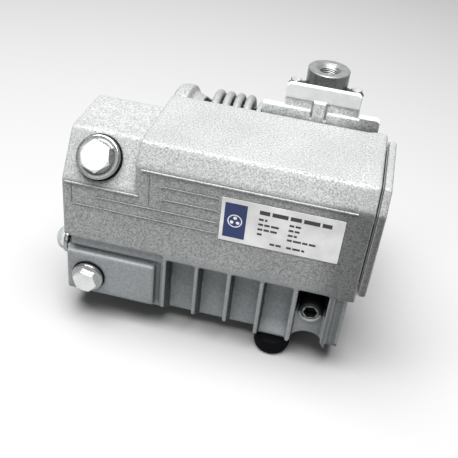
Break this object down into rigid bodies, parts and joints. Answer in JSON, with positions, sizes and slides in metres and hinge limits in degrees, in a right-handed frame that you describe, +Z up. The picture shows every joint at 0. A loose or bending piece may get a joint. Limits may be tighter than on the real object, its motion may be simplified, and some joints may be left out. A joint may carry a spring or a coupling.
{
  "type": "rotary vane vacuum pump",
  "caption": "Oil-lubricated rotary vane vacuum pump: a silver cast oil box with a ribbed lower front, a vane pump behind it, a black threaded inlet on top, a coil cooler and a motor lantern.",
  "frame": {"origin": "middle of the bounding box on the floor, under the rubber feet", "axes": "+X along the oil box towards its end cover, -Y the front with the nameplate, +Z up"},
  "size_m": [0.2784, 0.2258, 0.22],
  "materials": {
    "casting": "silver hammer-grain paint over an aluminium casting",
    "zinc": "bright zinc plating",
    "steel": "machined",
    "iron": "blackened, with a machined top face",
    "rubber": "matt black",
    "gasket": "fibre sheet",
    "glass": "clear",
    "plastic": "moulded",
    "label": "printed film",
    "filter": "glass-fibre paper",
    "vane": "carbon composite",
    "tube": "drawn tube"
  },
  "bodies": {
    "pump_frame": {"oil_box_housing": "casting", "end_cover": "casting", "cylinder": "casting", "drive_end_plate": "casting", "rear_end_plate": "casting", "rear_bearing_cap": "casting", "motor_lantern": "casting", "oil_fill_plug": "zinc", "oil_drain_plug": "zinc", "sight_glass_frame": "zinc", "inlet_bolt_1": "zinc", "inlet_bolt_2": "zinc", "cover_screw_1": "zinc", "cover_screw_2": "zinc", "cover_screw_3": "zinc", "cover_screw_4": "zinc", "coil_elbow": "zinc", "coil_nut": "zinc", "access_plug": "steel", "baffle_plate": "steel", "filter_spring": "steel", "float_bracket": "steel", "float_pivot_pin": "steel", "drive_bearing": "steel", "rear_bearing": "steel", "exhaust_valve_stop": "steel", "exhaust_valve_screw": "steel", "inlet_screen": "steel", "check_valve_spring": "steel", "inlet_flange": "iron", "foot_front": "rubber", "foot_left": "rubber", "foot_rear_left": "rubber", "foot_rear_right": "rubber", "fill_plug_seal": "rubber", "drain_plug_seal": "rubber", "shaft_seal": "rubber", "end_cover_gasket": "gasket", "cylinder_gasket": "gasket", "inlet_gasket": "gasket", "sight_glass": "glass", "filter_end_cap": "plastic", "filter_outlet_collar": "plastic", "nameplate": "label", "exhaust_filter": "filter", "cooling_coil": "tube", "oil_pickup_tube": "tube"},
    "rotor_assembly": {"rotor": "steel", "coupling_hub": "steel", "coupling_spider": "rubber", "fan": "plastic", "shaft_key": "steel"},
    "vane_slide_1": {"vane_1": "vane"},
    "vane_slide_2": {"vane_2": "vane"},
    "vane_slide_3": {"vane_3": "vane"},
    "check_valve": {"check_valve_disc": "rubber"},
    "exhaust_reed": {"exhaust_valve_reed": "steel"},
    "float_arm": {"float": "plastic", "float_lever": "steel"}
  },
  "joints": [
    {"name": "rotor_spin", "type": "hinge", "parent": "pump_frame", "child": "rotor_assembly", "pos_m": [0.06325, 0.05585, 0.1185], "axis": [1, 0, 0], "continuous": true},
    {"name": "vane_1_slide", "type": "slide", "parent": "rotor_assembly", "child": "vane_slide_1", "axis": [0, 0, 1], "range_m": [-0.0048, 0]},
    {"name": "vane_2_slide", "type": "slide", "parent": "rotor_assembly", "child": "vane_slide_2", "axis": [0, 0.866, 0.5], "range_m": [0, 0.0022]},
    {"name": "vane_3_slide", "type": "slide", "parent": "rotor_assembly", "child": "vane_slide_3", "axis": [0, -0.866, 0.5], "range_m": [0, 0.0022]},
    {"name": "check_valve_travel", "type": "slide", "parent": "pump_frame", "child": "check_valve", "axis": [0, 0, 1], "range_m": [-0.006, 0], "stiffness_N_per_m": 60, "springref_m": 0.004, "deforming": ["check_valve_spring"]},
    {"name": "exhaust_reed_lift", "type": "hinge", "parent": "pump_frame", "child": "exhaust_reed", "pos_m": [0.06325, 0.0015, 0.145], "axis": [-1, 0, 0], "range_deg": [0, 8], "stiffness_Nm_per_rad": 0.02, "springref_deg": -5.73},
    {"name": "float_swing", "type": "hinge", "parent": "pump_frame", "child": "float_arm", "pos_m": [0.07975, -0.03865, 0.07], "axis": [0, 1, 0], "range_deg": [-8, 10]}
  ]
}
